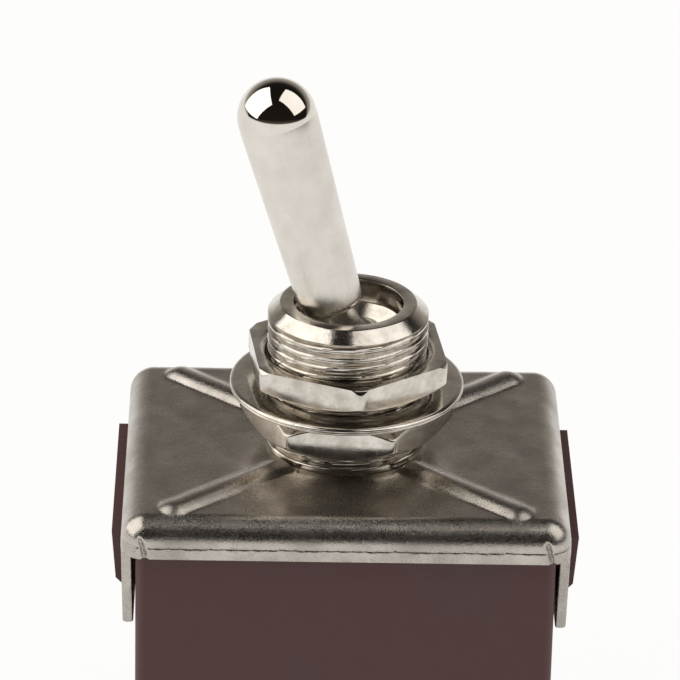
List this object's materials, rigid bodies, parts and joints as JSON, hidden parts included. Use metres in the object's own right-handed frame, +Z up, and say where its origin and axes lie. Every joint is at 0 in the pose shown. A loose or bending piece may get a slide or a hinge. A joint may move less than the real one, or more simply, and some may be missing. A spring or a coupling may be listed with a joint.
{
  "type": "panel toggle switch",
  "caption": "Panel toggle switch: metal bat lever in a threaded bushing with hex nuts and washer, ribbed pressed frame over a moulded housing with screw terminals.",
  "frame": {"origin": "centre of the housing's base, on the bushing's axis", "axes": "+Z up along the bushing, +X across the side arms, the way the lever swings, +Y along the lever's pivot pin"},
  "size_m": [0.0344, 0.0278, 0.0563],
  "materials": {
    "phenolic": "satin",
    "frame_plate": "satin",
    "nickel": "satin",
    "lever_nickel": "satin",
    "steel_pin": "satin",
    "spring_steel": "polished",
    "fish_paper": "matte",
    "black_moulding": "matte",
    "nylon": "satin",
    "copper": "satin",
    "silver": "satin",
    "terminal_brass": "satin"
  },
  "bodies": {
    "switch_body": {"housing": "phenolic", "insulator": "fish_paper", "frame": "frame_plate", "bushing": "nickel", "pivot_pin": "steel_pin", "common_terminal_1": "terminal_brass", "common_terminal_2": "terminal_brass", "common_terminal_3": "terminal_brass", "left_terminal_1": "terminal_brass", "left_terminal_2": "terminal_brass", "left_terminal_3": "terminal_brass", "right_terminal_1": "terminal_brass", "right_terminal_2": "terminal_brass", "right_terminal_3": "terminal_brass", "fixed_contacts": "silver", "terminal_screws": "nickel"},
    "lever_arm": {"lever": "lever_nickel", "carrier": "black_moulding", "spring_1": "spring_steel", "spring_2": "spring_steel", "spring_3": "spring_steel"},
    "sprung_plunger_1": {"plunger_1": "nylon"},
    "rocking_contact_1": {"rocker_1": "copper", "rocker_contacts_1": "silver"},
    "sprung_plunger_2": {"plunger_2": "nylon"},
    "rocking_contact_2": {"rocker_2": "copper", "rocker_contacts_2": "silver"},
    "sprung_plunger_3": {"plunger_3": "nylon"},
    "rocking_contact_3": {"rocker_3": "copper", "rocker_contacts_3": "silver"},
    "back_nut_ring": {"back_nut": "nickel", "washer": "nickel"},
    "front_nut_ring": {"front_nut": "nickel"}
  },
  "joints": [
    {"name": "lever_pivot", "type": "hinge", "parent": "switch_body", "child": "lever_arm", "pos_m": [0, 0, 0.03395], "axis": [0, 1, 0], "range_deg": [0, 31.8]},
    {"name": "rocker_tilt_1", "type": "hinge", "parent": "switch_body", "child": "rocking_contact_1", "pos_m": [0, -0.0078, 0.01253], "axis": [0, 1, 0], "range_deg": [-12, 0]},
    {"name": "rocker_tilt_2", "type": "hinge", "parent": "switch_body", "child": "rocking_contact_2", "pos_m": [0, 0, 0.01253], "axis": [0, 1, 0], "range_deg": [-12, 0]},
    {"name": "rocker_tilt_3", "type": "hinge", "parent": "switch_body", "child": "rocking_contact_3", "pos_m": [0, 0.0078, 0.01253], "axis": [0, 1, 0], "range_deg": [-12, 0]},
    {"name": "plunger_slide_1", "type": "slide", "parent": "lever_arm", "child": "sprung_plunger_1", "axis": [-0.274, 0, 0.9617], "range_m": [0, 0.0008], "stiffness_N_per_m": 800, "deforming": ["spring_1"]},
    {"name": "plunger_slide_2", "type": "slide", "parent": "lever_arm", "child": "sprung_plunger_2", "axis": [-0.274, 0, 0.9617], "range_m": [0, 0.0008], "stiffness_N_per_m": 800, "deforming": ["spring_2"]},
    {"name": "plunger_slide_3", "type": "slide", "parent": "lever_arm", "child": "sprung_plunger_3", "axis": [-0.274, 0, 0.9617], "range_m": [0, 0.0008], "stiffness_N_per_m": 800, "deforming": ["spring_3"]},
    {"name": "back_nut_turn", "type": "hinge", "parent": "switch_body", "child": "back_nut_ring", "pos_m": [0, 0, 0.0301], "axis": [0, 0, 1], "continuous": true},
    {"name": "front_nut_turn", "type": "hinge", "parent": "switch_body", "child": "front_nut_ring", "pos_m": [0, 0, 0.0339], "axis": [0, 0, 1], "continuous": true}
  ],
  "couplings": [
    {"joint": "rocker_tilt_1", "follows": "lever_pivot", "ratio": -0.37736},
    {"joint": "rocker_tilt_2", "follows": "lever_pivot", "ratio": -0.37736},
    {"joint": "rocker_tilt_3", "follows": "lever_pivot", "ratio": -0.37736}
  ]
}
